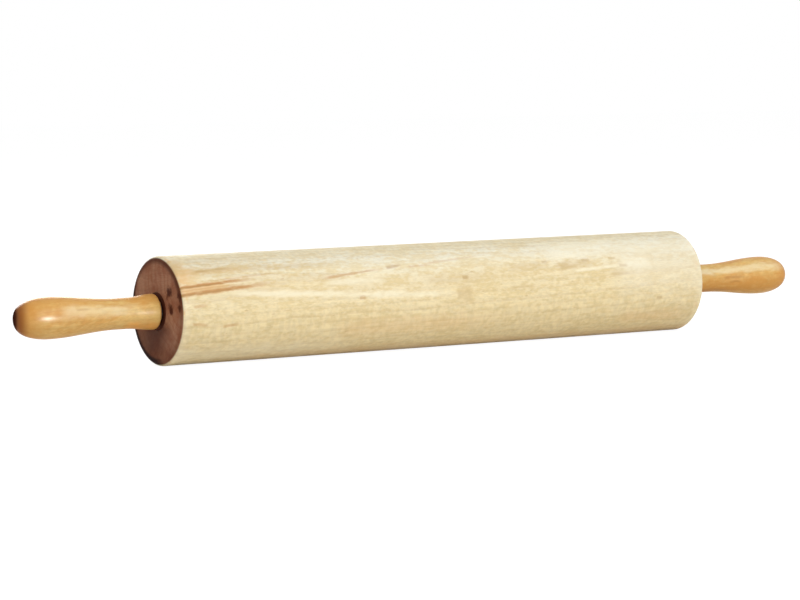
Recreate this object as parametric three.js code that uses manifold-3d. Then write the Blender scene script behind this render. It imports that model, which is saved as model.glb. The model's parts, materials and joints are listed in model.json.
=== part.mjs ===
// A ball-bearing rolling pin. A bored maple barrel spins on a steel axle, on a ball bearing let into
// each end, and a turned maple handle is pinned on each end of the axle.
// Millimetres, +Z up. The axle lies along X, and the origin is the barrel's centre.
import * as THREE from "three";
import { mergeVertices } from "three/addons/utils/BufferGeometryUtils.js";
import Module from "manifold-3d";

const wasm = await Module();
wasm.setup();

// Barrel
const BARREL_LENGTH = 450;
const BARREL_DIAMETER = 76;
const BARREL_EDGE_RADIUS = 3;

// Axle: a plain middle, and journals turned down at both ends to carry the bearings and handles
const JOURNAL_DIAMETER = 10;
const AXLE_SHOULDER = 1; // radial step from journal to middle, where the bearing stops
const AXLE_BORE_CLEARANCE = 0.8; // radial, from the axle's middle to the barrel
const AXLE_REACH = 68; // length of journal inside each handle
const AXLE_CHAMFER = 1;

// Deep-groove ball bearing
const BEARING_DIAMETER = 26;
const BEARING_WIDTH = 8;
const BEARING_CHAMFER = 0.4;
const BALL_DIAMETER = 4.76;
const BALL_COUNT = 7;
const BALL_CLEARANCE = 0.25; // from a ball to its races and to its pocket
const RACE_DEPTH = 1.1; // how deep the ball's groove is cut into each ring
const CAGE_THICKNESS = 1.6;
const CAGE_WIDTH = 6.6;

// Dust cap over the bearing, and the spacer bush that passes through it
const CAP_THICKNESS = 2.4;
const CAP_CLEARANCE = 0.6; // radial, from the turning cap to the still spacer

// Handle, from its base by the barrel to its tip
const HANDLE_GAP = 2.4; // from the barrel's end face to the handle's base
const HANDLE_BASE_DIAMETER = 24.8;
const HANDLE_BASE_ROUND = 1.2;
const HANDLE_FLARE_LENGTH = 22;
const HANDLE_NECK_DIAMETER = 21.5;
const HANDLE_NECK_LENGTH = 8;
const HANDLE_SWELL_LENGTH = 51;
const HANDLE_GRIP_DIAMETER = 28.8;
const HANDLE_TIP_LENGTH = 24;
const HANDLE_TIP_FULLNESS = 1.5; // 1 is an ellipse, and more is blunter
const HANDLE_BORE_SPARE = 1.5; // bore left empty past the axle's end

// Cross pin, driven up through handle and axle from below
const PIN_DIAMETER = 3;
const PIN_STATION = 34; // from the handle's base
const PIN_RECESS = 0.4; // how far the pin's foot lies inside the handle
const PIN_COVER = 3.2; // wood left above the pin's head

// Radial and end gap of every fixed seat
const SEAT_GAP = 0.25;

// How far a cutter runs past the wall that it cuts
const CUT_MARGIN = 2;

// Facets
const BARREL_SIDES = 48;
const HANDLE_SIDES = 32;
const STEEL_SIDES = 36;
const PIN_SIDES = 12;
const POCKET_SIDES = 14;
const BALL_SIDES = 12;
const BALL_RINGS = 8;
const CAGE_STEPS = 7; // from one ball to the next
const ROUND_STEPS = 3;
const FLARE_STEPS = 5;
const SWELL_STEPS = 8;
const TIP_STEPS = 7;
const RACE_STEPS = 6;

// Radii that neighbours share
const barrelRadius = BARREL_DIAMETER / 2;
const journalRadius = JOURNAL_DIAMETER / 2;
const axleRadius = journalRadius + AXLE_SHOULDER;
const barrelBoreRadius = axleRadius + AXLE_BORE_CLEARANCE;
const journalSeatRadius = journalRadius + SEAT_GAP;
const bearingRadius = BEARING_DIAMETER / 2;
const bearingSeatRadius = bearingRadius + SEAT_GAP;
const pitchRadius = (journalRadius + bearingRadius) / 2;
const ballRadius = BALL_DIAMETER / 2;
const raceRadius = ballRadius + BALL_CLEARANCE;
const innerLandRadius = pitchRadius - raceRadius + RACE_DEPTH;
const outerLandRadius = pitchRadius + raceRadius - RACE_DEPTH;
const spacerRadius = innerLandRadius;
const capHoleRadius = spacerRadius + CAP_CLEARANCE;
const pinRadius = PIN_DIAMETER / 2;
const pinHoleRadius = pinRadius + SEAT_GAP;

// Stations along X, measured outwards from the barrel's end face
const barrelHalf = BARREL_LENGTH / 2;
const bearingFrontStation = -CAP_THICKNESS - SEAT_GAP;
const bearingBackStation = bearingFrontStation - BEARING_WIDTH;
const bearingMidStation = (bearingFrontStation + bearingBackStation) / 2;
const seatFloorStation = bearingBackStation - SEAT_GAP;
const handleLength = HANDLE_FLARE_LENGTH + HANDLE_NECK_LENGTH + HANDLE_SWELL_LENGTH + HANDLE_TIP_LENGTH;
const pinStation = HANDLE_GAP + PIN_STATION;

// Materials
function finish(color, roughness, metalness) {
  return new THREE.MeshStandardMaterial({ color, roughness, metalness });
}

const paleMaple = finish(0xe3d0a6, 0.6, 0);
const honeyMaple = finish(0xd3a055, 0.3, 0);
const steel = finish(0xb4b6b8, 0.35, 1);
const bearingSteel = finish(0xc9cbcd, 0.18, 1);
const pressedSteel = finish(0xb0a48c, 0.4, 1);
const darkNylon = finish(0x241a17, 0.55, 0);

// A point of a turned profile: radius, then station along the axis
const at = (radius, station) => new THREE.Vector2(radius, station);

// Points of an arc in a profile. Zero degrees points away from the axis, and 90 along it.
function arc(centre, radius, fromDegrees, toDegrees, steps) {
  const points = [];
  for (let i = 0; i <= steps; i++) {
    const angle = THREE.MathUtils.degToRad(THREE.MathUtils.lerp(fromDegrees, toDegrees, i / steps));
    points.push(at(centre.x + radius * Math.cos(angle), centre.y + radius * Math.sin(angle)));
  }
  return points;
}

// A solid of revolution about X, with a facet square to Y and Z on each side
function turned(profile, sides) {
  return new THREE.LatheGeometry(profile, sides, Math.PI / sides).rotateZ(-Math.PI / 2);
}

// A ring of revolution: its profile is closed on itself
const turnedRing = (profile, sides) => turned([...profile, profile[0].clone()], sides);

// Exact boolean solids, from a closed geometry and back
function toSolid(geometry) {
  const bare = geometry.clone();
  bare.deleteAttribute("normal");
  bare.deleteAttribute("uv");
  const merged = mergeVertices(bare);
  return new wasm.Manifold(
    new wasm.Mesh({
      numProp: 3,
      vertProperties: new Float32Array(merged.attributes.position.array),
      triVerts: new Uint32Array(merged.index.array),
    }),
  );
}

function toGeometry(solid) {
  const mesh = solid.getMesh();
  const geometry = new THREE.BufferGeometry();
  geometry.setAttribute("position", new THREE.BufferAttribute(mesh.vertProperties, 3));
  geometry.setIndex(new THREE.BufferAttribute(mesh.triVerts, 1));
  geometry.computeVertexNormals();
  return geometry;
}

function cut(geometry, cutters) {
  const whole = toSolid(geometry);
  return toGeometry(cutters.reduce((solid, cutter) => solid.subtract(toSolid(cutter)), whole));
}

const rolling = new THREE.Group();

function add(group, name, geometry, material) {
  const mesh = new THREE.Mesh(geometry, material);
  mesh.name = name;
  group.add(mesh);
  return mesh;
}

// The barrel: rounded outer edges, a through bore, and a stepped seat in each end for bearing and cap
function barrel() {
  const flatRadius = barrelRadius - BARREL_EDGE_RADIUS;
  const edgeStation = barrelHalf - BARREL_EDGE_RADIUS;
  const floor = barrelHalf + seatFloorStation;
  return turnedRing(
    [
      at(bearingSeatRadius, -barrelHalf),
      ...arc(at(flatRadius, -edgeStation), BARREL_EDGE_RADIUS, -90, 0, ROUND_STEPS),
      ...arc(at(flatRadius, edgeStation), BARREL_EDGE_RADIUS, 0, 90, ROUND_STEPS),
      at(bearingSeatRadius, barrelHalf),
      at(bearingSeatRadius, floor),
      at(barrelBoreRadius, floor),
      at(barrelBoreRadius, -floor),
      at(bearingSeatRadius, -floor),
    ],
    BARREL_SIDES,
  );
}

// The axle: one rod from handle to handle, with a cross hole for each pin
function axle() {
  const end = barrelHalf + HANDLE_GAP + AXLE_REACH;
  const shoulder = barrelHalf + seatFloorStation;
  const rod = turned(
    [
      at(0, -end),
      at(journalRadius - AXLE_CHAMFER, -end),
      at(journalRadius, -end + AXLE_CHAMFER),
      at(journalRadius, -shoulder),
      at(axleRadius, -shoulder),
      at(axleRadius, shoulder),
      at(journalRadius, shoulder),
      at(journalRadius, end - AXLE_CHAMFER),
      at(journalRadius - AXLE_CHAMFER, end),
      at(0, end),
    ],
    STEEL_SIDES,
  );
  const reach = journalRadius + CUT_MARGIN;
  const holes = [-1, 1].map((side) => crossHole(side * (barrelHalf + pinStation), -reach, reach));
  return cut(rod, holes);
}

// A round bar along Z at a station on X, between two heights
function crossBar(radius, station, low, high) {
  return new THREE.CylinderGeometry(radius, radius, high - low, PIN_SIDES)
    .rotateX(Math.PI / 2)
    .translate(station, 0, (low + high) / 2);
}

const crossHole = (station, low, high) => crossBar(pinHoleRadius, station, low, high);

// One ring of the bearing, with its ball groove facing the other ring.
// The inner ring's groove opens outwards (facing 1) and the outer ring's inwards (facing -1).
function bearingRing(wallRadius, landRadius, facing) {
  const half = BEARING_WIDTH / 2;
  const lip = THREE.MathUtils.radToDeg(Math.acos((raceRadius - RACE_DEPTH) / raceRadius));
  const middle = facing > 0 ? 180 : 0;
  const turn = facing * lip;
  const groove = arc(at(pitchRadius, 0), raceRadius, middle + turn, middle - turn, RACE_STEPS);
  const chamferedWall = wallRadius + facing * BEARING_CHAMFER;
  const profile = [
    at(landRadius, -half),
    ...groove,
    at(landRadius, half),
    at(chamferedWall, half),
    at(wallRadius, half - BEARING_CHAMFER),
    at(wallRadius, -half + BEARING_CHAMFER),
    at(chamferedWall, -half),
  ];
  return turnedRing(facing > 0 ? profile : profile.reverse(), STEEL_SIDES).translate(bearingMidStation, 0, 0);
}

// Where a ball of the bearing sits, in the frame of its end of the pin
function ballCentre(index) {
  const angle = (2 * Math.PI * index) / BALL_COUNT;
  return new THREE.Vector3(bearingMidStation, pitchRadius * Math.cos(angle), pitchRadius * Math.sin(angle));
}

// The cage: a band on the balls' pitch circle with a round pocket for each ball
function ballCage() {
  const inner = pitchRadius - CAGE_THICKNESS / 2;
  const outer = pitchRadius + CAGE_THICKNESS / 2;
  const half = CAGE_WIDTH / 2;
  const band = turnedRing(
    [at(inner, -half), at(outer, -half), at(outer, half), at(inner, half)],
    BALL_COUNT * CAGE_STEPS,
  ).translate(bearingMidStation, 0, 0);
  const depth = CAGE_THICKNESS + 2 * CUT_MARGIN;
  const pockets = [];
  for (let i = 0; i < BALL_COUNT; i++) {
    const centre = ballCentre(i);
    const pocket = new THREE.CylinderGeometry(raceRadius, raceRadius, depth, POCKET_SIDES);
    pocket.rotateX(Math.atan2(centre.z, centre.y)).translate(centre.x, centre.y, centre.z);
    pockets.push(pocket);
  }
  return cut(band, pockets);
}

// The dust cap fills the mouth of the bearing's seat, flush with the barrel's end
function dustCap() {
  return turnedRing(
    [
      at(capHoleRadius, -CAP_THICKNESS),
      at(bearingRadius, -CAP_THICKNESS),
      at(bearingRadius, 0),
      at(capHoleRadius, 0),
    ],
    STEEL_SIDES,
  );
}

// The spacer bush keeps the handle off the barrel, and bears on the bearing's inner ring alone
function spacerBush() {
  const back = bearingFrontStation + SEAT_GAP;
  const front = HANDLE_GAP - SEAT_GAP;
  return turnedRing(
    [
      at(journalSeatRadius, back),
      at(spacerRadius, back),
      at(spacerRadius, front),
      at(journalSeatRadius, front),
    ],
    STEEL_SIDES,
  );
}

// The handle's outside: a flared base, a straight neck, a swelling grip and a blunt round tip
const ease = (t) => (1 - Math.cos(Math.PI * t)) / 2;
const flareEnd = HANDLE_FLARE_LENGTH;
const neckEnd = flareEnd + HANDLE_NECK_LENGTH;
const swellEnd = neckEnd + HANDLE_SWELL_LENGTH;

function handleRadius(station) {
  const base = HANDLE_BASE_DIAMETER / 2;
  const neck = HANDLE_NECK_DIAMETER / 2;
  const grip = HANDLE_GRIP_DIAMETER / 2;
  if (station < flareEnd) {
    const t = (station - HANDLE_BASE_ROUND) / (flareEnd - HANDLE_BASE_ROUND);
    return THREE.MathUtils.lerp(base, neck, ease(t));
  }
  if (station < neckEnd) return neck;
  if (station < swellEnd) {
    const t = (station - neckEnd) / HANDLE_SWELL_LENGTH;
    return THREE.MathUtils.lerp(neck, grip, ease(t));
  }
  const rise = (station - swellEnd) / HANDLE_TIP_LENGTH;
  return grip * Math.sqrt(1 - rise ** 2) ** (1 / HANDLE_TIP_FULLNESS);
}

function handle() {
  const base = HANDLE_BASE_DIAMETER / 2;
  const boreEnd = AXLE_REACH + HANDLE_BORE_SPARE;
  const roundCentre = at(base - HANDLE_BASE_ROUND, HANDLE_BASE_ROUND);
  const outside = arc(roundCentre, HANDLE_BASE_ROUND, -90, 0, ROUND_STEPS);
  for (let i = 1; i <= FLARE_STEPS; i++) {
    const station = THREE.MathUtils.lerp(HANDLE_BASE_ROUND, flareEnd, i / FLARE_STEPS);
    outside.push(at(handleRadius(station), station));
  }
  for (let i = 0; i < SWELL_STEPS; i++) {
    const station = neckEnd + (HANDLE_SWELL_LENGTH * i) / SWELL_STEPS;
    outside.push(at(handleRadius(station), station));
  }
  for (let i = 0; i < TIP_STEPS; i++) {
    const angle = (i / TIP_STEPS) * (Math.PI / 2);
    const station = swellEnd + HANDLE_TIP_LENGTH * Math.sin(angle);
    outside.push(at(handleRadius(station), station));
  }
  const profile = [
    at(0, boreEnd),
    at(journalSeatRadius, boreEnd),
    at(journalSeatRadius, 0),
    ...outside,
    at(0, handleLength),
  ];
  const body = turned(profile, HANDLE_SIDES).translate(HANDLE_GAP, 0, 0);
  const { mouth, head } = pinSpan();
  return cut(body, [crossHole(pinStation, mouth, head + SEAT_GAP)]);
}

// The heights of the pin's two ends and its hole's mouth, from the handle's thickness where it is driven
function pinSpan() {
  const wall = handleRadius(PIN_STATION);
  return { mouth: -wall - CUT_MARGIN, foot: -wall + PIN_RECESS, head: wall - PIN_COVER };
}

function handlePin() {
  const { foot, head } = pinSpan();
  return crossBar(pinRadius, pinStation, foot, head);
}

// Everything at one end of the pin, with +X pointing out of the barrel
function pinEnd(side) {
  const end = new THREE.Group();
  add(end, `${side}_bearing_outer_ring`, bearingRing(bearingRadius, outerLandRadius, -1), bearingSteel);
  add(end, `${side}_bearing_inner_ring`, bearingRing(journalSeatRadius, innerLandRadius, 1), bearingSteel);
  add(end, `${side}_ball_cage`, ballCage(), pressedSteel);
  for (let i = 0; i < BALL_COUNT; i++) {
    const ball = new THREE.SphereGeometry(ballRadius, BALL_SIDES, BALL_RINGS);
    add(end, `${side}_ball_${i + 1}`, ball, bearingSteel).position.copy(ballCentre(i));
  }
  add(end, `${side}_dust_cap`, dustCap(), darkNylon);
  add(end, `${side}_spacer_bush`, spacerBush(), steel);
  add(end, `${side}_handle`, handle(), honeyMaple);
  add(end, `${side}_handle_pin`, handlePin(), steel);
  return end;
}

add(rolling, "barrel", barrel(), paleMaple);
add(rolling, "axle_rod", axle(), steel);

const rightEnd = pinEnd("right");
rightEnd.position.x = barrelHalf;
rolling.add(rightEnd);

const leftEnd = pinEnd("left");
leftEnd.position.x = -barrelHalf;
leftEnd.rotation.z = Math.PI;
rolling.add(leftEnd);

export default rolling;
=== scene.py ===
import bpy
import json
import math
import numpy as np
from mathutils import Matrix, Vector


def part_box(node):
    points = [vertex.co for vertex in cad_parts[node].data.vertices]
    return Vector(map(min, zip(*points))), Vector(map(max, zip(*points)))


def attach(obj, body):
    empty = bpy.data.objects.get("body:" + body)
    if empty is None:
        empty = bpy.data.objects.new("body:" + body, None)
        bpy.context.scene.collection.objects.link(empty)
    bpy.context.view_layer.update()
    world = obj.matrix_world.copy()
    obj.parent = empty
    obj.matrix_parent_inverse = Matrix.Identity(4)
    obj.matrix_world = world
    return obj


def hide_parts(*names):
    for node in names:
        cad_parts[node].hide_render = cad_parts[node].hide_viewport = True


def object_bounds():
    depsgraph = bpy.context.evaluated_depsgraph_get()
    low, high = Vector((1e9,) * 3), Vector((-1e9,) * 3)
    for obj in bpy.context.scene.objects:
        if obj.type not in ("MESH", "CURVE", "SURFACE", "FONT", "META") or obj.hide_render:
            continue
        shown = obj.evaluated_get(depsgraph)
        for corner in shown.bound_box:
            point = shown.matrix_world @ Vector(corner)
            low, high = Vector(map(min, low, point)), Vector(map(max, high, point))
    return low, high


# Looks of a ball-bearing rolling pin: bare maple barrel, lacquered handles, dark caps, bright steel
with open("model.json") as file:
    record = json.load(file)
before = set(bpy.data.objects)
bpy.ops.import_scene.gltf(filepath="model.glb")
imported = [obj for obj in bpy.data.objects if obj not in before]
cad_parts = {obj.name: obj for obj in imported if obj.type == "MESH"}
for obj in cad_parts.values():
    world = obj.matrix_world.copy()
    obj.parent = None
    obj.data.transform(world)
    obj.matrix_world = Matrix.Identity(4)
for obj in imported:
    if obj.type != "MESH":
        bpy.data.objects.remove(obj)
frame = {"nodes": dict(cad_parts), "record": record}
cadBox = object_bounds()
scene = bpy.context.scene
scene.view_settings.view_transform = "Standard"
nodeOf = frame["nodes"]
slotOf = {entry["node"]: entry["material_slot"] for entry in frame["record"]["subparts"]}
bodyOf = {name: body for body, names in frame["record"]["behaviour"]["bodies"].items() for name in names}
ends = {"left": -1, "right": 1}
mm = 0.001
print("frame loaded:", len(nodeOf), "nodes")


# Shader node helpers
def addNode(tree, kind, **settings):
    made = tree.nodes.new("ShaderNode" + kind)
    for key, value in settings.items():
        setattr(made, key, value)
    return made


def feed(tree, socket, source):
    if isinstance(source, bpy.types.NodeSocket):
        tree.links.new(source, socket)
    else:
        socket.default_value = source


def calc(tree, operation, first, second=0.0):
    made = addNode(tree, "Math", operation=operation)
    feed(tree, made.inputs[0], first)
    feed(tree, made.inputs[1], second)
    return made.outputs[0]


def times(tree, first, second):
    return calc(tree, "MULTIPLY", first, second)


def plus(tree, first, second):
    return calc(tree, "ADD", first, second)


def hypot(tree, first, second):
    return calc(tree, "SQRT", plus(tree, times(tree, first, first), times(tree, second, second)))


def between(tree, value, low, high, toLow=0.0, toHigh=1.0):
    made = addNode(tree, "MapRange", interpolation_type="SMOOTHSTEP")
    made.inputs["From Min"].default_value = low
    made.inputs["From Max"].default_value = high
    made.inputs["To Min"].default_value = toLow
    made.inputs["To Max"].default_value = toHigh
    feed(tree, made.inputs["Value"], value)
    return made.outputs["Result"]


def blendColour(tree, mask, below, above, mode="MIX"):
    made = addNode(tree, "Mix", data_type="RGBA", blend_type=mode)
    feed(tree, made.inputs[0], mask)
    feed(tree, made.inputs[6], below)
    feed(tree, made.inputs[7], above)
    return made.outputs[2]


def stretched(tree, vector, scale):
    made = addNode(tree, "VectorMath", operation="MULTIPLY")
    feed(tree, made.inputs[0], vector)
    made.inputs[1].default_value = scale
    return made.outputs[0]


def noise(tree, vector, scale, detail=2.0, roughness=0.5):
    made = addNode(tree, "TexNoise")
    feed(tree, made.inputs["Vector"], stretched(tree, vector, scale))
    made.inputs["Scale"].default_value = 1.0
    made.inputs["Detail"].default_value = detail
    made.inputs["Roughness"].default_value = roughness
    return made.outputs["Fac"]


def split(tree, vector):
    made = addNode(tree, "SeparateXYZ")
    feed(tree, made.inputs[0], vector)
    return made.outputs["X"], made.outputs["Y"], made.outputs["Z"]


def bumped(tree, shader, height, strength, distance):
    made = addNode(tree, "Bump")
    made.inputs["Strength"].default_value = strength
    made.inputs["Distance"].default_value = distance
    feed(tree, made.inputs["Height"], height)
    feed(tree, shader["Normal"], made.outputs["Normal"])


def newGroup(name, inputs, outputs):
    group = bpy.data.node_groups.new(name, "ShaderNodeTree")
    group.interface.new_socket(name="Vector", in_out="INPUT", socket_type="NodeSocketVector")
    for label in inputs:
        group.interface.new_socket(name=label, in_out="INPUT", socket_type="NodeSocketFloat")
    for label in outputs:
        group.interface.new_socket(name=label, in_out="OUTPUT", socket_type="NodeSocketFloat")
    return group, group.nodes.new("NodeGroupInput").outputs, group.nodes.new("NodeGroupOutput").inputs


def useGroup(tree, group, **values):
    made = tree.nodes.new("ShaderNodeGroup")
    made.node_tree = group
    for label, source in values.items():
        feed(tree, made.inputs[label], source)
    return made.outputs


def newMaterial(name):
    material = bpy.data.materials.new(name)
    material.use_nodes = True
    return material, material.node_tree, material.node_tree.nodes["Principled BSDF"].inputs


# Maple from a log whose pith line leans a little against the turned axis, so the rings run out along it.
# Ring number = distance from the pith over the ring width, wavered by a slow noise.
# Rays stand on the pith: fine across the angle, long outwards, a few millimetres along the grain.
# Heart = how far a point lies to the heart side, roughened by the same slow noise.
def timberGroup():
    tree, into, out = newGroup(
        "timber",
        ["pithY", "pithZ", "leanY", "leanZ", "ringWidth", "waver", "heartY", "heartZ"],
        ["Rings", "Fibre", "Mottle", "Flecks", "Pores", "Rays", "Heart"],
    )
    spot = into["Vector"]
    x, y, z = split(tree, spot)
    offY = calc(tree, "SUBTRACT", y, plus(tree, into["pithY"], times(tree, x, into["leanY"])))
    offZ = calc(tree, "SUBTRACT", z, plus(tree, into["pithZ"], times(tree, x, into["leanZ"])))
    distance = hypot(tree, offY, offZ)
    turn = calc(tree, "ARCTAN2", offZ, offY)
    slow = calc(tree, "SUBTRACT", noise(tree, spot, (9, 44, 44), 3.0), 0.5)
    ring = calc(tree, "DIVIDE", plus(tree, distance, times(tree, slow, into["waver"])), into["ringWidth"])
    phase = calc(tree, "FRACT", ring)
    late = times(tree, between(tree, phase, 0.45, 0.9), between(tree, phase, 0.93, 1.0, 1.0, 0.0))
    yearly = addNode(tree, "TexWhiteNoise", noise_dimensions="1D")
    feed(tree, yearly.inputs["W"], calc(tree, "FLOOR", ring))
    feed(tree, out["Rings"], times(tree, late, between(tree, yearly.outputs["Value"], 0.0, 1.0, 0.25, 1.0)))
    broad = times(tree, noise(tree, spot, (22, 420, 420)), 0.55)
    fine = times(tree, noise(tree, spot, (60, 1500, 1500)), 0.45)
    feed(tree, out["Fibre"], plus(tree, broad, fine))
    mottle = times(tree, noise(tree, spot, (11, 60, 60), 3.0, 0.6), 0.16)
    for scale, share in (((60, 160, 160), 0.4), ((210, 420, 420), 0.44)):
        mottle = plus(tree, mottle, times(tree, noise(tree, spot, scale), share))
    feed(tree, out["Mottle"], mottle)
    feed(tree, out["Flecks"], between(tree, noise(tree, spot, (150, 560, 560), 1.0), 0.72, 0.8))
    feed(tree, out["Pores"], between(tree, noise(tree, spot, (130, 2300, 2300), 1.0), 0.58, 0.74))
    standing = addNode(tree, "CombineXYZ")
    for socket, source in zip(standing.inputs, (x, turn, distance)):
        feed(tree, socket, source)
    feed(tree, out["Rays"], between(tree, noise(tree, standing.outputs[0], (330, 50, 125), 2.0), 0.3, 0.7))
    heartward = plus(tree, times(tree, y, into["heartY"]), times(tree, z, into["heartZ"]))
    feed(tree, out["Heart"], between(tree, plus(tree, heartward, times(tree, slow, 0.7)), -0.55, 0.95))
    return tree


# One mark on a turned surface. Along: full at startX, gone after length.
# Across: angle above the -Y side, which drifts with X, over half the mark's width, with a ragged edge.
def markGroup():
    tree, into, out = newGroup(
        "grainMark", ["ragged", "startX", "length", "angle", "drift", "halfWidth"], ["Mask"],
    )
    x, y, z = split(tree, into["Vector"])
    run = calc(tree, "SUBTRACT", x, into["startX"])
    share = calc(tree, "DIVIDE", run, into["length"])
    along = times(tree, between(tree, share, -0.12, 0.04), between(tree, share, 0.55, 1.0, 1.0, 0.0))
    turn = calc(tree, "ARCTAN2", z, times(tree, y, -1.0))
    centre = plus(tree, into["angle"], times(tree, run, into["drift"]))
    off = calc(tree, "DIVIDE", calc(tree, "SUBTRACT", turn, centre), into["halfWidth"])
    across = between(tree, calc(tree, "ABSOLUTE", plus(tree, off, into["ragged"])), 0.1, 1.0, 1.0, 0.0)
    feed(tree, out["Mask"], times(tree, along, across))
    return tree


# A dark blot on the left end face: full at its middle, gone at its size, with a ragged edge
def blotGroup():
    tree, into, out = newGroup("endBlot", ["spotY", "spotZ", "size"], ["Mask"])
    x, y, z = split(tree, into["Vector"])
    offY = calc(tree, "SUBTRACT", y, into["spotY"])
    offZ = calc(tree, "SUBTRACT", z, into["spotZ"])
    distance = hypot(tree, offY, offZ)
    ragged = between(tree, noise(tree, into["Vector"], (300, 300, 300)), 0.2, 0.8, 0.55, 1.45)
    share = times(tree, calc(tree, "DIVIDE", distance, into["size"]), ragged)
    fade = between(tree, share, 0.25, 1.0, 1.0, 0.0)
    feed(tree, out["Mask"], times(tree, fade, calc(tree, "LESS_THAN", x, 0.0)))
    return tree


# Handling marks: soft smudges in the gloss, and a small dent in one cell out of three
def handlingGroup():
    tree, into, out = newGroup("handling", [], ["Smudge", "Dents"])
    feed(tree, out["Smudge"], between(tree, noise(tree, into["Vector"], (38, 55, 55), 4.0, 0.6), 0.35, 0.7))
    cells = addNode(tree, "TexVoronoi")
    feed(tree, cells.inputs["Vector"], stretched(tree, into["Vector"], (70, 95, 95)))
    cells.inputs["Scale"].default_value = 1.0
    chosen = calc(tree, "GREATER_THAN", split(tree, cells.outputs["Color"])[0], 0.66)
    hollow = between(tree, cells.outputs["Distance"], 0.03, 0.22, 1.0, 0.0)
    feed(tree, out["Dents"], times(tree, chosen, hollow))
    return tree


timber = timberGroup()
grainMark = markGroup()
endBlot = blotGroup()
handling = handlingGroup()
print("shader groups ready")


def timberMarks(look, tree, spot):
    pithY, pithZ = -math.cos(look["pithAngle"]), math.sin(look["pithAngle"])
    heartY, heartZ = -math.cos(look["heartAngle"]), math.sin(look["heartAngle"])
    return useGroup(
        tree, timber, Vector=spot,
        pithY=pithY * look["pithDistance"], pithZ=pithZ * look["pithDistance"],
        leanY=pithY * look["lean"], leanZ=pithZ * look["lean"],
        ringWidth=look["ringWidth"], waver=look["waver"],
        heartY=heartY / look["radius"], heartZ=heartZ / look["radius"],
    )


def addMarks(look, tree, spot, colour):
    ragged = times(tree, calc(tree, "SUBTRACT", noise(tree, spot, (120, 300, 300)), 0.5), 1.1)
    patchy = between(tree, noise(tree, spot, (170, 450, 450)), 0.25, 0.55, 0.65, 1.0)
    for tone, startX, length, angle, drift, halfWidth, strength in look["marks"]:
        mask = useGroup(
            tree, grainMark, Vector=spot, ragged=ragged, startX=startX * mm, length=length * mm,
            angle=math.radians(angle), drift=math.radians(drift) / mm, halfWidth=math.radians(halfWidth),
        )["Mask"]
        colour = blendColour(tree, times(tree, times(tree, mask, patchy), strength), colour, look[tone])
    return colour


# Light and dark strands and rays, as factors on the colour
def shadeGrain(look, tree, grain, colour):
    strands = between(tree, grain["Fibre"], 0.3, 0.7, *look["fibreShade"])
    colour = blendColour(tree, 1.0, colour, strands, "MULTIPLY")
    rays = between(tree, grain["Rays"], 0.0, 1.0, *look["rayShade"])
    return blendColour(tree, 1.0, colour, rays, "MULTIPLY")


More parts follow.
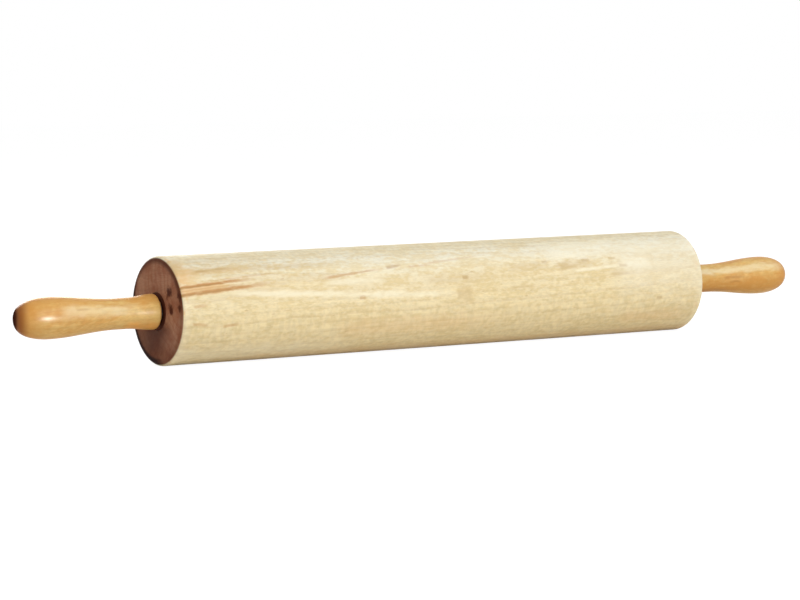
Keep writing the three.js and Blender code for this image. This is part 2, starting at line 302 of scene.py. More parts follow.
barrelLook = {
    "back": (0.81, 0.725, 0.52, 1),
    "sap": (0.825, 0.80, 0.685, 1),
    "heart": (0.82, 0.685, 0.41, 1),
    "tan": (0.72, 0.57, 0.295, 1),
    "ringBrown": (0.52, 0.33, 0.14, 1),
    "fleckBrown": (0.44, 0.25, 0.10, 1),
    "streakBrown": (0.51, 0.235, 0.075, 1),
    "warm": (0.76, 0.50, 0.24, 1),
    "umber": (0.60, 0.44, 0.22, 1),
    "cream": (0.93, 0.87, 0.68, 1),
    "endLight": (0.425, 0.217, 0.128, 1),
    "endDark": (0.29, 0.105, 0.054, 1),
    "endBlack": (0.080, 0.022, 0.011, 1),
    "shadeBandBlack": (0.018, 0.004, 0.003, 1),
    # the log
    "pithAngle": math.radians(30), "pithDistance": 62 * mm, "lean": 0.032, "ringWidth": 5.5 * mm,
    "waver": 10 * mm, "heartAngle": math.radians(-40), "radius": 38 * mm,
    # side: how much of each tone is laid on
    "sapRange": (0.0, 0.2), "cloudRange": (0.42, 0.60), "cloudShare": (0.5, 0.72), "ringShare": 0.16,
    "fibreShade": (0.955, 1.035), "rayShade": (0.95, 1.03), "fleckShare": 0.35,
    # the pale on the rounded edges is a painted highlight
    "edgeHighlightShare": 0.2, "nickShare": 0.6,
    "gloss": (0.5, 0.66), "shine": 0.04, "bumpStrength": 0.25, "bumpDepth": 0.15 * mm,
    # end: each way is a direction in the face, as shares of Y and Z
    "endRingShare": 0.45, "endRayShade": (0.93, 1.05), "poreShare": 0.3,
    # painted shade: darker low at the back, eased off at the very bottom
    "shadeWay": (-0.44, 0.9), "shadeRange": (-34 * mm, 10 * mm), "shadeShare": 0.68,
    "shadeFadeRange": (-37 * mm, -24 * mm), "shadeFadeShare": 0.4,
    "frontLowWay": (-0.6, -0.8), "rubbedRange": (8 * mm, 30 * mm), "rubbedRim": 0.3,
    # painted shade: a near-black band along the edge, low at the back
    "backLowWay": (0.8, -0.6), "bandRange": (10 * mm, 24 * mm), "bandReach": (31.6 * mm, 34.4 * mm),
    "bandShare": 0.95,
    # painted shadow of the handle's base, on the face below the cap
    "capShadowReach": (13 * mm, 30 * mm), "capShadowRange": (-13 * mm, -5 * mm), "capShadowShare": 0.75,
    # tone, start along X in mm, length in mm, degrees above the front, drift per mm, half width, strength
    "marks": [
        # upper streak and warm edge at the left end
        ("warm", -219, 60, 48.2, 0.015, 6, 0.45),
        ("umber", -219, 150, 48.2, 0.015, 7, 0.42),
        ("umber", -209, 34, 48.6, 0.1, 4.2, 0.75),
        ("ringBrown", -208, 11, 48.2, 0.1, 2.0, 0.6),
        ("ringBrown", -192, 14, 50.4, 0.1, 2.0, 0.4),
        ("warm", -228, 26, 40.0, 0, 20, 0.35),
        ("warm", -228, 16, 50.0, 0, 28, 0.75),
        ("umber", -228, 14, 58.0, 0, 18, 0.55),
        # twin streaks at the left end
        ("warm", -226, 45, 24.5, 0.11, 9, 0.75),
        ("streakBrown", -226, 66, 29.1, 0.11, 3.0, 0.9),
        ("streakBrown", -227, 82, 20.7, 0.12, 3.6, 0.9),
        ("fleckBrown", -226, 44, 28.6, 0.11, 1.6, 0.75),
        ("fleckBrown", -227, 58, 20.2, 0.12, 1.8, 0.75),
        ("streakBrown", -224, 60, 25.6, 0.1, 1.6, 0.4),
        ("streakBrown", -200, 60, 35.5, 0.11, 1.6, 0.3),
        # pale bands, streaks and flecks in the middle
        ("cream", -178, 120, 20.0, -0.084, 5, 0.7),
        ("cream", -80, 95, 11.6, -0.077, 5, 0.55),
        ("cream", -107, 52, 25.5, 0.038, 5.5, 0.6),
        ("streakBrown", -106, 52, 32.0, 0.154, 2.4, 0.55),
        ("fleckBrown", -55, 14, 40.6, 0.2, 3.2, 0.7),
        ("streakBrown", -36, 22, 40.2, 0.06, 2.2, 0.4),
        ("streakBrown", -20, 56, 43.2, 0.15, 1.8, 0.35),
        ("streakBrown", -83, 6, 7.8, 0, 3.2, 0.45),
        ("fleckBrown", 6, 6, 23.0, 0, 3.6, 0.6),
        ("umber", 0, 16, 6.0, 0, 14, 0.5),
        # tan and pale patches towards the right end
        ("umber", 50, 42, 32.0, 0.05, 8, 0.4),
        ("umber", 92, 38, 31.9, 0.06, 9, 0.6),
        ("umber", 95, 16, 29.5, 0.06, 6, 0.6),
        ("cream", 109, 54, 24.2, 0.08, 3.2, 0.7),
        ("cream", 152, 32, 28.0, 0, 12, 0.7),
        ("umber", 148, 9, 27.4, 0, 4, 0.7),
        ("umber", 140, 20, 17.7, 0, 3, 0.6),
        ("fleckBrown", 181, 6, -12.5, 0, 2.6, 0.4),
        # short flecks low at the left end
        ("streakBrown", -192.5, 13, -13.9, 0.19, 2.6, 0.5),
        ("streakBrown", -216.5, 13, -9.9, -0.12, 2.6, 0.45),
        ("streakBrown", -216, 12, 8.6, 0.1, 2.4, 0.4),
        # broad faint bands
        ("umber", -228, 2000, 21.0, 0, 14, 0.13),
        ("umber", -228, 90, 60.0, 0, 22, 0.2),
        ("umber", -22, 60, 23.0, 0, 8, 0.3),
        ("cream", -90, 330, 50.0, 0, 22, 0.25),
        ("cream", 95, 230, 55.0, 0, 26, 0.5),
        ("cream", -222, 170, -50.0, 0, 18, 0.3),
        ("sap", 150, 140, 24.0, 0, 52, 0.28),
        # small flecks towards the right end
        ("fleckBrown", 79, 6, 36.8, 0, 3, 0.35),
        ("fleckBrown", 115, 8, 36.1, 0, 3, 0.35),
        ("umber", 140, 8, 36.8, 0, 3, 0.6),
        ("umber", 48, 24, 9.3, 0, 3, 0.4),
        # warm underside; the band along the bottom edge is painted shade
        ("warm", -90, 150, -26.0, 0, 16, 0.3),
        ("warm", 155, 70, -36.0, 0, 14, 0.3),
        # painted shade: darker warm band along the bottom edge
        ("warm", -150, 720, -72.0, 0, 24, 0.45),
        # far side: the same kinds of mark, fewer and fainter
        ("umber", -190, 130, 128, 0.03, 5, 0.45),
        ("streakBrown", -172, 46, 131, 0.08, 1.8, 0.45),
        ("cream", -60, 140, 116, -0.05, 6, 0.6),
        ("umber", 30, 110, 146, 0.03, 7, 0.4),
        ("streakBrown", 62, 58, 149, 0.07, 2.0, 0.45),
        ("cream", 96, 90, 128, 0.03, 5, 0.5),
        ("fleckBrown", 10, 8, 124, 0, 2.8, 0.45),
        ("fleckBrown", -96, 7, 158, 0, 2.8, 0.4),
        ("fleckBrown", 176, 7, 138, 0, 2.6, 0.4),
        ("umber", -150, 90, -148, 0.04, 6, 0.4),
        ("streakBrown", 90, 40, -134, 0.1, 2.0, 0.4),
        ("fleckBrown", -20, 7, -116, 0, 2.8, 0.4),
    ],
    # middle on the left face as Y and Z in mm, size in mm
    "blots": [(-17.8, 14.2, 5.2), (-20.5, 2.7, 4.2), (-33.0, 5.0, 3.2), (-33.0, 13.0, 4.2)],
}


# How far a point of the end face lies along a direction
def toward(tree, y, z, way):
    return plus(tree, times(tree, y, way[0]), times(tree, z, way[1]))


# End grain drinks the oil: dark, with the rings as arcs, rays, pores and blots, and painted shade low at
# the back
def soakedEnd(look, tree, spot, grain):
    soak = noise(tree, spot, (60, 60, 60), 4.0, 0.6)
    end = blendColour(tree, between(tree, soak, 0.3, 0.7), look["endLight"], look["endDark"])
    end = blendColour(tree, times(tree, grain["Rings"], look["endRingShare"]), end, look["endDark"])
    rays = between(tree, grain["Rays"], 0.0, 1.0, *look["endRayShade"])
    end = blendColour(tree, 1.0, end, rays, "MULTIPLY")
    end = blendColour(tree, times(tree, grain["Pores"], look["poreShare"]), end, look["endBlack"])
    y, z = split(tree, spot)[1:]
    # painted shade: darker low at the back, less so at the very bottom
    paintedShade = between(tree, toward(tree, y, z, look["shadeWay"]), *look["shadeRange"], look["shadeShare"], 0.0)
    shadeFade = between(tree, z, *look["shadeFadeRange"], look["shadeFadeShare"], 1.0)
    end = blendColour(tree, times(tree, paintedShade, shadeFade), end, look["endBlack"])
    for spotY, spotZ, size in look["blots"]:
        blot = useGroup(tree, endBlot, Vector=spot, spotY=spotY * mm, spotZ=spotZ * mm, size=size * mm)
        end = blendColour(tree, blot["Mask"], end, look["endBlack"])
    # The dark rim is rubbed away low at the front. Low at the back a near-black band is painted shade, and
    # below the cap lies a painted shadow of the handle's base.
    rim = addNode(tree, "Attribute", attribute_name="rim").outputs["Fac"]
    frontLow = toward(tree, y, z, look["frontLowWay"])
    rim = times(tree, rim, between(tree, frontLow, *look["rubbedRange"], 1.0, look["rubbedRim"]))
    end = blendColour(tree, rim, end, look["endBlack"])
    reach = hypot(tree, y, z)
    # painted shade: a near-black band along the edge, low at the back
    backLow = between(tree, toward(tree, y, z, look["backLowWay"]), *look["bandRange"])
    band = times(tree, between(tree, reach, *look["bandReach"]), backLow)
    end = blendColour(tree, times(tree, band, look["bandShare"]), end, look["shadeBandBlack"])
    # painted shadow of the handle's base, on the face below the cap
    below = between(tree, z, *look["capShadowRange"], 1.0, 0.0)
    capShadow = times(tree, between(tree, reach, *look["capShadowReach"], look["capShadowShare"], 0.0), below)
    return blendColour(tree, capShadow, end, look["endBlack"])


def barrelMaple(look):
    material, tree, shader = newMaterial("barrelMaple")
    spot = addNode(tree, "TexCoord").outputs["Object"]
    grain = timberMarks(look, tree, spot)
    wear = useGroup(tree, handling, Vector=spot)
    side = blendColour(tree, between(tree, grain["Heart"], *look["sapRange"]), look["back"], look["sap"])
    side = blendColour(tree, grain["Heart"], side, look["heart"])
    cloudy = between(tree, grain["Heart"], *look["sapRange"], *look["cloudShare"])
    clouds = times(tree, between(tree, grain["Mottle"], *look["cloudRange"]), cloudy)
    side = blendColour(tree, clouds, side, look["tan"])
    side = blendColour(tree, times(tree, grain["Rings"], look["ringShare"]), side, look["ringBrown"])
    side = shadeGrain(look, tree, grain, side)
    side = blendColour(tree, times(tree, grain["Flecks"], look["fleckShare"]), side, look["fleckBrown"])
    # Rounded edges are painted pale as a highlight, with a few dark nicks of wear
    highlightAndWear = addNode(tree, "Attribute", attribute_name="edgeHighlightAndWear").outputs["Fac"]
    side = blendColour(tree, times(tree, highlightAndWear, look["edgeHighlightShare"]), side, look["cream"])
    nicks = between(tree, noise(tree, spot, (160, 160, 160)), 0.58, 0.68)
    side = blendColour(tree, times(tree, times(tree, highlightAndWear, nicks), look["nickShare"]), side, look["warm"])
    side = addMarks(look, tree, spot, side)
    faced = addNode(tree, "Attribute", attribute_name="endGrain").outputs["Fac"]
    end = soakedEnd(look, tree, spot, grain)
    feed(tree, shader["Base Color"], blendColour(tree, faced, side, end))
    feed(tree, shader["Roughness"], between(tree, wear["Smudge"], 0.0, 1.0, *look["gloss"]))
    shader["Specular IOR Level"].default_value = look["shine"]
    height = plus(tree, times(tree, grain["Fibre"], 0.5), times(tree, grain["Pores"], -0.6))
    height = plus(tree, height, times(tree, wear["Dents"], -0.5))
    bumped(tree, shader, height, look["bumpStrength"], look["bumpDepth"])
    return material


handleLook = {
    "honey": (0.73, 0.51, 0.195, 1),
    # pale tone for painted highlights
    "highlightPale": (0.81, 0.70, 0.45, 1),
    # lighter gold for the base: painted light
    "litGold": (0.87, 0.60, 0.20, 1),
    "amber": (0.60, 0.285, 0.065, 1),
    "orange": (0.80, 0.37, 0.085, 1),
    "rust": (0.34, 0.12, 0.03, 1),
    "ringBrown": (0.52, 0.26, 0.07, 1),
    "fleckBrown": (0.40, 0.175, 0.05, 1),
    "tipStainAndShade": (0.045, 0.010, 0.004, 1),
    # the log
    "pithAngle": math.radians(62), "pithDistance": 30 * mm, "lean": 0.05, "ringWidth": 3.4 * mm,
    # the heart side faces down, so its amber is wood tone and painted shade of the underside
    "waver": 4 * mm, "heartAngle": math.radians(-80), "radius": 14.4 * mm,
    # how much of each tone is laid on
    "heartAndShadeShare": 0.22, "cloudRange": (0.40, 0.64), "cloudShare": 0.55, "ringShare": 0.22,
    "fibreShade": (0.94, 1.04), "rayShade": (0.94, 1.03),
    # ranges along the handle: 0 at the base, 1 at the tip
    "litGoldRange": (0.01, 0.10), "litGoldShare": 0.75, "edgeRange": (0.002, 0.016), "edgeShare": 0.8,
    "amberRange": (0.80, 0.98), "amberShare": 0.75, "rustRange": (0.90, 0.975), "tipRange": (0.975, 1.003),
    # the tip's rust and dark spot are end grain and painted shade
    "tipShadeShift": 3.5,  # moves rust and dark spot to the back, in shares of the length per metre
    # lacquer: thin at the base, full on the grip, bare at the tip, and rubbed thinner on the heart side
    "gripRange": (0.15, 0.5), "lacquer": (0.04, 0.32), "bareRange": (0.90, 0.98),
    "rubbedRange": (0.3, 1.0), "rubbedLacquer": 0.15,
    "gloss": (0.34, 0.46), "shine": 0.05,
    "coatRoughness": 0.32, "coatIor": 1.5, "coatTint": (1.0, 0.84, 0.56, 1),
    "bumpStrength": 0.12, "bumpDepth": 0.1 * mm,
    # columns as for the barrel
    "marks": [
        # left handle: amber along the top and bottom edges and over the upper grip is painted shade
        ("amber", -340, 260, 84, 0, 36, 0.75),
        ("amber", -340, 260, -84, 0, 36, 0.75),
        ("amber", -342, 76, 42, 0, 66, 0.6),
        # painted highlight along the left grip
        ("highlightPale", -300, 64, 22, 0, 28, 0.6),
        # right handle: amber along the top edge is painted shade
        ("amber", 215, 260, 90, 0, 32, 0.75),
        ("amber", 215, 260, -42, 0.15, 58, 0.85),
        # painted highlight along the upper side of the right handle
        ("highlightPale", 232, 150, 34, 0, 22, 0.8),
        ("fleckBrown", 268, 20, 2.0, 0.32, 9, 0.5),
        ("fleckBrown", 273, 11, -14.0, 0.2, 8, 0.45),
        ("fleckBrown", -292, 12, 24.0, 0.2, 6, 0.3),
        ("rust", 228, 60, -58.0, 0, 22, 0.35),
        # left base: amber on the top and orange on the underside are painted shade
        ("amber", -250, 60, 52, 0, 40, 0.7),
        ("orange", -250, 60, -52, 0, 36, 0.7),
    ],
}


def handleMaple(look):
    material, tree, shader = newMaterial("handleMaple")
    spot = addNode(tree, "TexCoord").outputs["Object"]
    grain = timberMarks(look, tree, spot)
    wear = useGroup(tree, handling, Vector=spot)
    # amber towards the heart side, at the bottom: wood tone and painted shade of the underside
    heartward = times(tree, grain["Heart"], look["heartAndShadeShare"])
    colour = blendColour(tree, heartward, look["honey"], look["amber"])
    clouds = between(tree, grain["Mottle"], *look["cloudRange"], 0.0, look["cloudShare"])
    colour = blendColour(tree, clouds, colour, look["amber"])
    colour = blendColour(tree, times(tree, grain["Rings"], look["ringShare"]), colour, look["ringBrown"])
    colour = shadeGrain(look, tree, grain, colour)
    # Painted light: a lighter gold at the base; amber on its edge
    along = addNode(tree, "Attribute", attribute_name="along").outputs["Fac"]
    paintedLight = between(tree, along, *look["litGoldRange"], look["litGoldShare"], 0.0)
    colour = blendColour(tree, paintedLight, colour, look["litGold"])
    colour = addMarks(look, tree, spot, colour)
    edge = between(tree, along, *look["edgeRange"], look["edgeShare"], 0.0)
    colour = blendColour(tree, edge, colour, look["amber"])
    # End grain at the tip drinks the lacquer: amber, rust, then dark and dull a little to the back; the
    # rust and dark there are partly painted shade
    tipSoakAndShade = plus(tree, along, times(tree, split(tree, spot)[1], look["tipShadeShift"]))
    tip = between(tree, tipSoakAndShade, *look["tipRange"])
    ambered = between(tree, along, *look["amberRange"], 0.0, look["amberShare"])
    colour = blendColour(tree, ambered, colour, look["amber"])
    colour = blendColour(tree, between(tree, tipSoakAndShade, *look["rustRange"]), colour, look["rust"])
    feed(tree, shader["Base Color"], blendColour(tree, tip, colour, look["tipStainAndShade"]))
    gloss = between(tree, wear["Smudge"], 0.0, 1.0, *look["gloss"])
    feed(tree, shader["Roughness"], calc(tree, "MAXIMUM", gloss, tip))
    lacquer = between(tree, along, *look["gripRange"], *look["lacquer"])
    lacquer = times(tree, lacquer, between(tree, along, *look["bareRange"], 1.0, 0.0))
    worn = between(tree, grain["Heart"], *look["rubbedRange"], 1.0, look["rubbedLacquer"])
    feed(tree, shader["Coat Weight"], times(tree, lacquer, worn))
    shader["Specular IOR Level"].default_value = look["shine"]
    shader["Coat Roughness"].default_value = look["coatRoughness"]
    shader["Coat IOR"].default_value = look["coatIor"]
    shader["Coat Tint"].default_value = look["coatTint"]
    height = plus(tree, times(tree, grain["Fibre"], 0.5), times(tree, wear["Dents"], -1.0))
    bumped(tree, shader, height, look["bumpStrength"], look["bumpDepth"])
    return material


# Worked steel: turning lines round the axis as a fine noise along X, and smears of oil
def workedSteel(name, colour, dull, roughness, lines):
    material, tree, shader = newMaterial(name)
    spot = addNode(tree, "TexCoord").outputs["Object"]
    wear = useGroup(tree, handling, Vector=stretched(tree, spot, (3, 3, 3)))
    turning = noise(tree, spot, (lines, 25, 25))
    feed(tree, shader["Base Color"], blendColour(tree, wear["Smudge"], colour, dull))
    feed(tree, shader["Roughness"], between(tree, turning, 0.25, 0.75, roughness * 0.75, roughness * 1.3))
    shader["Metallic"].default_value = 1.0
    bumped(tree, shader, turning, 0.15, 0.05 * mm)
    return material


# Moulded nylon: fine sparkle of the mould's skin, greyed where flour and hands rub it
def mouldedNylon(name, colour, highlightAndWear):
    material, tree, shader = newMaterial(name)
    spot = addNode(tree, "TexCoord").outputs["Object"]
    wear = useGroup(tree, handling, Vector=stretched(tree, spot, (2, 2, 2)))
    skin = noise(tree, spot, (2600, 2600, 2600))
    feed(tree, shader["Base Color"], blendColour(tree, times(tree, wear["Smudge"], 0.35), colour, highlightAndWear))
    feed(tree, shader["Roughness"], between(tree, skin, 0.3, 0.7, 0.55, 0.75))
    shader["Specular IOR Level"].default_value = 0.05
    bumped(tree, shader, skin, 0.2, 0.05 * mm)
    return material


# Steels: colour, dulled colour, roughness, turning lines per metre. Nylon: colour, rubbed colour.
finishes = {
    "barrel_maple": barrelMaple(barrelLook),
    "handle_maple": handleMaple(handleLook),
    "axle_steel": workedSteel("axleSteel", (0.56, 0.57, 0.58, 1), (0.42, 0.42, 0.42, 1), 0.34, 900),
    "spacer_steel": workedSteel("spacerSteel", (0.44, 0.44, 0.44, 1), (0.3, 0.3, 0.3, 1), 0.4, 2500),
    "pin_steel": workedSteel("pinSteel", (0.5, 0.51, 0.52, 1), (0.36, 0.35, 0.34, 1), 0.38, 1500),
    "bearing_steel": workedSteel("bearingSteel", (0.72, 0.73, 0.75, 1), (0.6, 0.6, 0.6, 1), 0.14, 3000),
    "cage_steel": workedSteel("cageSteel", (0.55, 0.5, 0.4, 1), (0.4, 0.36, 0.3, 1), 0.36, 1200),
    # the cap's near-black brown is partly painted shade of the gap behind the handle's base
    "cap_nylon": mouldedNylon("capNylonGapShade", (0.085, 0.021, 0.010, 1), (0.11, 0.036, 0.019, 1)),
}
print("finishes made:", ", ".join(finishes))


def lowHigh(name):
    low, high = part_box(name)
    return np.array(low), np.array(high)


# The CAD solids are prisms, so their boxes give the flat-to-flat radius
def roundRadius(name, sides):
    return lowHigh(name)[1][1] / math.cos(math.pi / sides)


def addAttribute(mesh, name, values):
    mesh.attributes.new(name, "FLOAT", "POINT").data.foreach_set("value", np.asarray(values, np.float32))


def pointsOf(mesh):
    points = np.empty(len(mesh.vertices) * 3, np.float32)
    mesh.vertices.foreach_get("co", points)
    return points.reshape(-1, 3)


def setPoints(mesh, points):
    mesh.vertices.foreach_set("co", np.asarray(points, np.float32).ravel())
    mesh.update()
    return mesh


def smooth(low, high, value):
    t = np.clip((value - low) / (high - low), 0, 1)
    return t * t * (3 - 2 * t)


# Profile corner with a radius: a quadratic curve from one flank to the other
def softened(points, radius, steps=5):
    points = np.asarray(points, float)
    t = np.linspace(0, 1, steps)[:, None]
    out = []
    for before, corner, after in zip(np.roll(points, 1, 0), points, np.roll(points, -1, 0)):
        first = corner + (before - corner) * min(radius / np.linalg.norm(before - corner), 0.45)
        last = corner + (after - corner) * min(radius / np.linalg.norm(after - corner), 0.45)
        out.append((1 - t) ** 2 * first + 2 * t * (1 - t) * corner + t ** 2 * last)
    return np.concatenate(out)


# Surface of revolution: point (i, j) = (x_i, r_i cos a_j, r_i sin a_j), a_j = 2 pi j / sides.
# A ring closes its profile on itself. An open profile starts and ends on the axis, at a pole.
def turnedMesh(name, profile, sides, closed):
    stations, radii = np.asarray(profile, float).T
    body = slice(None) if closed else slice(1, -1)
    angle = 2 * np.pi * np.arange(sides) / sides
    x, r = stations[body], radii[body]
    across, up = np.outer(r, np.cos(angle)), np.outer(r, np.sin(angle))
    points = np.stack([np.repeat(x[:, None], sides, 1), across, up], -1).reshape(-1, 3)
    index = np.arange(len(points)).reshape(-1, sides)
    low, high = (index, np.roll(index, -1, 0)) if closed else (index[:-1], index[1:])
    faces = np.stack([low, np.roll(low, -1, 1), np.roll(high, -1, 1), high], -1).reshape(-1, 4).tolist()
    if not closed:
        first, last = len(points), len(points) + 1
        points = np.concatenate([points, [[stations[0], 0, 0], [stations[-1], 0, 0]]])
        faces += np.stack([np.full(sides, first), np.roll(index[0], -1), index[0]], -1).tolist()
        faces += np.stack([np.full(sides, last), index[-1], np.roll(index[-1], -1)], -1).tolist()
    mesh = bpy.data.meshes.new(name)
    mesh.from_pydata(points.tolist(), [], faces)
    mesh.polygons.foreach_set("use_smooth", np.ones(len(mesh.polygons), bool))
    mesh.update()
    return mesh


def addPiece(mesh, node, sharp=40):
    mesh.set_sharp_from_angle(angle=math.radians(sharp))
    piece = bpy.data.objects.new(mesh.name, mesh)
    scene.collection.objects.link(piece)
    mesh.materials.clear()
    mesh.materials.append(finishes[slotOf[node]])
    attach(piece, bodyOf[node])
    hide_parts(node)
    return piece


# Barrel: side, rounded edges, flat ends, and the seats that hold bearing and cap
barrelShape = {
    "sides": 256, "cadSides": 48, "seatSides": 36, "edge": 3 * mm,
    "rows": 90, "edgeSteps": 17, "faceSteps": 9, "seatGap": 0.25 * mm, "boreGap": 0.8 * mm,
    # where each mark on the rounded edge starts and is full, in edge radii in from the face or the side
    "endGrain": (0.36, 0.14), "highlightAndWearEdge": (1.6, 0.7), "rimFull": 0.8, "rimWidth": 3.5 * mm, "rimShare": 0.85,
}


def makeBarrel(shape):
    half, edge = lowHigh("barrel")[1][0], shape["edge"]
    radius = roundRadius("barrel", shape["cadSides"])
    seat = roundRadius("right_bearing_outer_ring", shape["seatSides"]) + shape["seatGap"]
    floor = lowHigh("right_bearing_outer_ring")[0][0] - shape["seatGap"]
    bore = roundRadius("axle_rod", shape["seatSides"]) + shape["boreGap"]
    turn = np.linspace(0, np.pi / 2, shape["edgeSteps"])
    rounding = np.stack([half - edge + edge * np.sin(turn), radius - edge + edge * np.cos(turn)], -1)
    row = np.linspace(-half + edge, half - edge, shape["rows"])[1:-1]
    side = np.stack([row, np.full_like(row, radius)], -1)
    faceRadii = np.linspace(radius - edge, seat, shape["faceSteps"])[1:]
    face = np.stack([np.full_like(faceRadii, half), faceRadii], -1)
    mirror = np.array([-1, 1])
    inside = np.array([[floor, seat], [floor, bore], [-floor, bore], [-floor, seat]])
    profile = np.concatenate([face[::-1] * mirror, rounding[::-1] * mirror, side, rounding, face, inside])
    mesh = turnedMesh("barrel_turned", profile, shape["sides"], True)
    points = pointsOf(mesh)
    reach, out = np.hypot(points[:, 1], points[:, 2]), np.abs(points[:, 0])
    grainFrom, grainFull = (half - share * edge for share in shape["endGrain"])
    rimFrom, rimFull = radius - edge - shape["rimWidth"], radius - shape["rimFull"] * edge
    highlightAndWearFrom, highlightAndWearFull = (half - share * edge for share in shape["highlightAndWearEdge"])
    addAttribute(mesh, "endGrain", smooth(grainFrom, grainFull, out))
    addAttribute(mesh, "rim", smooth(rimFrom, rimFull, reach) * shape["rimShare"])
    # rounded edges: mask for the pale painted highlight and the wear nicks
    addAttribute(mesh, "edgeHighlightAndWear", smooth(highlightAndWearFrom, highlightAndWearFull, out))
    return addPiece(mesh, "barrel")


makeBarrel(barrelShape)
print("barrel turned")

# Handles: flared base, straight neck, swelling grip, blunt tip, with the pin's hole drilled from below
handleShape = {
    "sides": 128, "cadSides": 32, "baseRound": 1.2 * mm, "base": 12.4 * mm, "flare": 22 * mm,
    "neck": 10.75 * mm, "neckLength": 8 * mm, "swell": 51 * mm, "tip": 24 * mm, "tipFullness": 1.5,
    "roundSteps": 7, "flareSteps": 19, "swellSteps": 33, "tipSteps": 49, "tipCrowding": 0.8,
    "bore": 5.25 * mm, "boreDepth": 69.5 * mm, "holeGap": 0.25 * mm, "holeSides": 32, "drillStart": 4 * mm,
}


def ease(t):
    return (1 - np.cos(np.pi * t)) / 2


# Radius down the handle: cosine blends from base to neck and neck to grip, then a full quarter oval
def handleProfile(shape, grip):
    base, neck, edge = shape["base"], shape["neck"], shape["baseRound"]
    turn = np.linspace(-np.pi / 2, 0, shape["roundSteps"])
    rounding = np.stack([edge + edge * np.sin(turn), base - edge + edge * np.cos(turn)], -1)
    t = np.linspace(0, 1, shape["flareSteps"])[1:]
    flare = np.stack([edge + (shape["flare"] - edge) * t, base + (neck - base) * ease(t)], -1)
    neckEnd = shape["flare"] + shape["neckLength"]
    t = np.linspace(0, 1, shape["swellSteps"])
    swell = np.stack([neckEnd + shape["swell"] * t, neck + (grip - neck) * ease(t)], -1)
    turn = np.linspace(0, 1, shape["tipSteps"])[1:] ** shape["tipCrowding"] * np.pi / 2
    fullness = np.clip(np.cos(turn), 0, 1) ** (1 / shape["tipFullness"])
    tip = np.stack([neckEnd + shape["swell"] + shape["tip"] * np.sin(turn), grip * fullness], -1)
    tip[-1, 1] = 0
    inside = [[shape["boreDepth"], 0], [shape["boreDepth"], shape["bore"]], [0, shape["bore"]]]
    return np.concatenate([inside, rounding, flare, swell, tip])


# Difference of two meshes, worked out once and stored
def drilled(mesh, bitMesh):
    body = bpy.data.objects.new("drilledBody", mesh)
    bit = bpy.data.objects.new("drillBit", bitMesh)
    for item in (body, bit):
        scene.collection.objects.link(item)
    hole = body.modifiers.new("hole", "BOOLEAN")
    hole.object = bit
    hole.solver = "EXACT"
    bpy.context.view_layer.update()
    result = bpy.data.meshes.new_from_object(body.evaluated_get(bpy.context.evaluated_depsgraph_get()))
    for item in (body, bit):
        bpy.data.objects.remove(item)
    return result


# Rod along Z at a station on X: (x, y, z) of the turned rod becomes (z + station, -y, x)
def standing(mesh, station):
    points = pointsOf(mesh)
    return setPoints(mesh, np.stack([points[:, 2] + station, -points[:, 1], points[:, 0]], -1))


def makeHandle(side, shape):
    node = side + "_handle"
    low, high = lowHigh(node)
    start = min(abs(low[0]), abs(high[0]))
    profile = handleProfile(shape, roundRadius(node, shape["cadSides"]))
    profile[:, 0] += start
    mesh = turnedMesh(node + "_whole", profile, shape["sides"], False)
    if ends[side] < 0:
        setPoints(mesh, pointsOf(mesh) * [-1, -1, 1])
    pinLow, pinHigh = lowHigh(side + "_handle_pin")
    wide = (pinHigh[0] - pinLow[0]) / 2 + shape["holeGap"]
    foot, head = pinLow[2] - shape["drillStart"], pinHigh[2] + shape["holeGap"]
    outline = [[foot, 0], [foot, wide], [head, wide], [head, 0]]
    bit = turnedMesh("drillBit", outline, shape["holeSides"], False)
    mesh = drilled(mesh, standing(bit, (pinLow[0] + pinHigh[0]) / 2))
    mesh.name = node + "_turned"
    share = (np.abs(pointsOf(mesh)[:, 0]) - start) / (high[0] - low[0])
    addAttribute(mesh, "along", share)
    return addPiece(mesh, node)


for side in ends:
    makeHandle(side, handleShape)
print("handles turned and drilled")


# Small turned pieces at both ends, each from its CAD box: rounded caps and bushes, chamfered pins
smallShape = {
    "sides": 96, "cadSides": 36, "capRound": 0.35 * mm, "capGap": 0.6 * mm, "bushRound": 0.25 * mm,
    "bushBore": 5.25 * mm, "pinRound": 0.3 * mm, "pinSides": 40, "pinSharp": 30,
}


def ringPiece(node, hole, rounding, shape):
    low, high = lowHigh(node)
    outer = roundRadius(node, shape["cadSides"])
    profile = softened([[low[0], hole], [low[0], outer], [high[0], outer], [high[0], hole]], rounding)
    return addPiece(turnedMesh(node + "_turned", profile, shape["sides"], True), node)


def makeSmallPieces(side, shape):
    bush, cap, pin = side + "_spacer_bush", side + "_dust_cap", side + "_handle_pin"
    ringPiece(cap, roundRadius(bush, shape["cadSides"]) + shape["capGap"], shape["capRound"], shape)
    ringPiece(bush, shape["bushBore"], shape["bushRound"], shape)
    low, high = lowHigh(pin)
    wide, edge = (high[0] - low[0]) / 2, shape["pinRound"]
    foot = [[low[2], 0], [low[2], wide - edge], [low[2] + edge, wide]]
    head = [[high[2] - edge, wide], [high[2], wide - edge], [high[2], 0]]
    mesh = turnedMesh(pin + "_turned", foot + head, shape["pinSides"], False)
    return addPiece(standing(mesh, (low[0] + high[0]) / 2), pin, shape["pinSharp"])


# Bearings: races as circular grooves, balls as full spheres
bearingShape = {
    "sides": 112, "cadSides": 36, "balls": 7, "ball": 2.38 * mm, "race": 2.63 * mm, "pitch": 9 * mm,
    "depth": 1.1 * mm, "innerWall": 5.25 * mm, "round": 0.4 * mm,
    "grooveSteps": 17, "ballSides": 40, "sharp": 25,
}


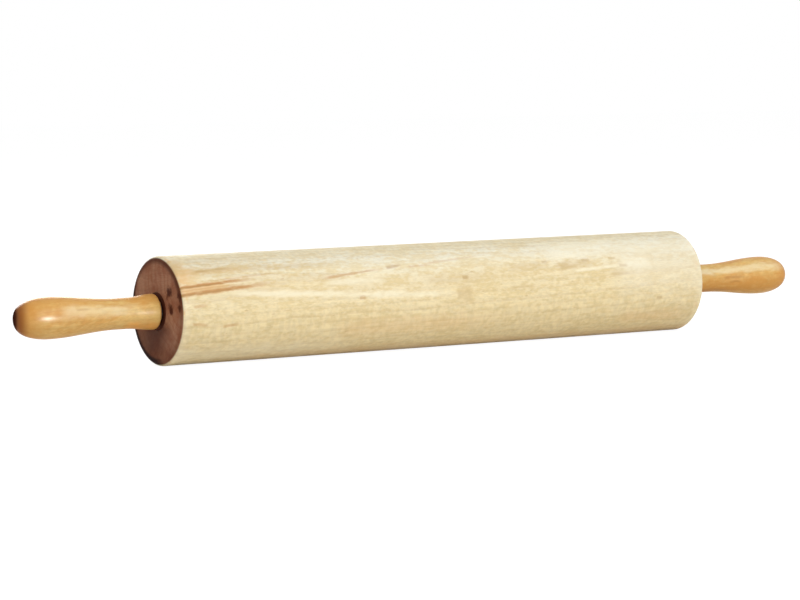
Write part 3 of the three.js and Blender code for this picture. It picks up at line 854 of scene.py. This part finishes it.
# Ring profile: groove arc about the pitch point, then the wall with its chamfers
def bearingRing(node, wall, sign, shape):
    low, high = lowHigh(node)
    half, edge = (high[0] - low[0]) / 2, shape["round"]
    lip = math.acos((shape["race"] - shape["depth"]) / shape["race"])
    sweep = np.linspace(-lip, lip, shape["grooveSteps"])
    groove = np.stack([np.sin(sweep), sign * np.cos(sweep)], -1) * shape["race"] + [0, shape["pitch"]]
    land = shape["pitch"] + sign * (shape["race"] - shape["depth"])
    corner = wall - sign * edge
    front = [[half, land], [half, corner], [half - edge, wall]]
    back = [[edge - half, wall], [-half, corner], [-half, land]]
    profile = np.concatenate([groove, front, back])
    profile[:, 0] += (low[0] + high[0]) / 2
    if sign > 0:
        profile = profile[::-1]
    return addPiece(turnedMesh(node + "_turned", profile, shape["sides"], True), node, shape["sharp"])


# Ball: half circle profile, sin and cos of the latitude
def bearingBall(node, shape):
    low, high = lowHigh(node)
    latitude = np.linspace(-np.pi / 2, np.pi / 2, shape["ballSides"] // 2 + 1)
    profile = np.stack([np.sin(latitude), np.cos(latitude)], -1) * shape["ball"]
    profile[[0, -1], 1] = 0
    mesh = turnedMesh(node + "_ground", profile, shape["ballSides"], False)
    return addPiece(setPoints(mesh, pointsOf(mesh) + (low + high) / 2), node)


def makeBearing(side, shape):
    outer, inner = side + "_bearing_outer_ring", side + "_bearing_inner_ring"
    bearingRing(outer, roundRadius(outer, shape["cadSides"]), 1, shape)
    bearingRing(inner, shape["innerWall"], -1, shape)
    for number in range(1, shape["balls"] + 1):
        bearingBall(f"{side}_ball_{number}", shape)


for side in ends:
    makeSmallPieces(side, smallShape)
    makeBearing(side, bearingShape)
print("caps, bushes, pins and bearings made")

# The CAD nodes that still show keep their shape and take their finish
for name in ["axle_rod"] + [side + "_ball_cage" for side in ends]:
    shown = nodeOf[name]
    shown.data.materials.clear()
    shown.data.materials.append(finishes[slotOf[name]])

# White studio: floor and world are white to the camera, and light the pin at a plain level.
# The floor's own glow is a little short of white, so the lamps make up the rest and a shadow still shows.
studio = {
    "floorSize": 8.0, "floorAlbedo": (0.78, 0.77, 0.77, 1), "floorRoughness": 0.9,
    "seenAlbedo": (0.2, 0.2, 0.2, 1), "seenGlow": 0.93, "worldLight": 0.32,
}


def seenDirectly(tree):
    path = addNode(tree, "LightPath").outputs
    mirrored = calc(tree, "MAXIMUM", path["Is Glossy Ray"], path["Is Transmission Ray"])
    return calc(tree, "MAXIMUM", path["Is Camera Ray"], mirrored)


def makeStudio(values):
    size, ground = values["floorSize"] / 2, cadBox[0][2]
    corners = [(-size, -size, ground), (size, -size, ground), (size, size, ground), (-size, size, ground)]
    mesh = bpy.data.meshes.new("floor")
    mesh.from_pydata(corners, [], [(0, 1, 2, 3)])
    floor = bpy.data.objects.new("floor", mesh)
    scene.collection.objects.link(floor)
    material, tree, shader = newMaterial("floorWhite")
    mesh.materials.append(material)
    seen = seenDirectly(tree)
    feed(tree, shader["Base Color"], blendColour(tree, seen, values["floorAlbedo"], values["seenAlbedo"]))
    feed(tree, shader["Emission Strength"], times(tree, seen, values["seenGlow"]))
    shader["Emission Color"].default_value = (1, 1, 1, 1)
    shader["Roughness"].default_value = values["floorRoughness"]
    shader["Specular IOR Level"].default_value = 0.0
    world = bpy.data.worlds.new("studio")
    scene.world = world
    world.use_nodes = True
    skyTree = world.node_tree
    sky = skyTree.nodes["Background"].inputs
    sky["Color"].default_value = (1, 1, 1, 1)
    seen = seenDirectly(skyTree)
    feed(skyTree, sky["Strength"], between(skyTree, seen, 0.0, 1.0, values["worldLight"], 1.0))


# place, aim, width, height, power. The gleam shows in gloss only.
lamps = {
    "keyBox": ((0.4, -1.71, 1.49), (0, 0, 0), 1.5, 0.9, 25),
    "leftFill": ((-1.2, -0.3, 1.2), (-0.25, 0, 0), 0.5, 0.5, 5.5),
    "frontFill": ((0.14, -2.05, 0.2), (-0.2, 0, 0), 0.6, 0.4, 9.5),
    "backFill": ((0.3, 2.1, 0.75), (0, 0, 0), 1.4, 0.9, 28),
    "gleam": ((0.14, -2.05, 0.07), (-0.2, 0, 0), 0.1, 0.2, 90),
}


def makeLamps(rows):
    for name, (place, aim, width, height, power) in rows.items():
        data = bpy.data.lights.new(name, "AREA")
        data.shape = "RECTANGLE"
        data.size, data.size_y, data.energy = width, height, power
        lamp = bpy.data.objects.new(name, data)
        lamp.location = place
        lamp.rotation_euler = (Vector(aim) - Vector(place)).to_track_quat("-Z", "Y").to_euler()
        lamp.visible_diffuse = name != "gleam"
        scene.collection.objects.link(lamp)


# The camera circles the barrel's centre: azimuth 0 looks along +Y. Slides move it in its own plane.
view = {
    "azimuth": -32.791, "elevation": 5.473, "distance": 2.1909, "slideRight": -0.02137, "slideUp": -0.00374,
    "lens": 134.99, "sensor": 36, "clip": (0.05, 50),
}


def makeCamera(values):
    azimuth, elevation = math.radians(values["azimuth"]), math.radians(values["elevation"])
    level = math.cos(elevation)
    back = Vector((math.sin(azimuth) * level, -math.cos(azimuth) * level, math.sin(elevation)))
    right = Vector((math.cos(azimuth), math.sin(azimuth), 0))
    up = back.cross(right)
    data = bpy.data.cameras.new("photoView")
    data.sensor_width, data.lens = values["sensor"], values["lens"]
    data.clip_start, data.clip_end = values["clip"]
    camera = bpy.data.objects.new("photoView", data)
    place = back * values["distance"] + right * values["slideRight"] + up * values["slideUp"]
    camera.matrix_world = Matrix.Translation(place) @ Matrix((right, up, back)).transposed().to_4x4()
    scene.collection.objects.link(camera)
    scene.camera = camera


makeStudio(studio)
makeLamps(lamps)
makeCamera(view)
print("studio, lamps and camera set")
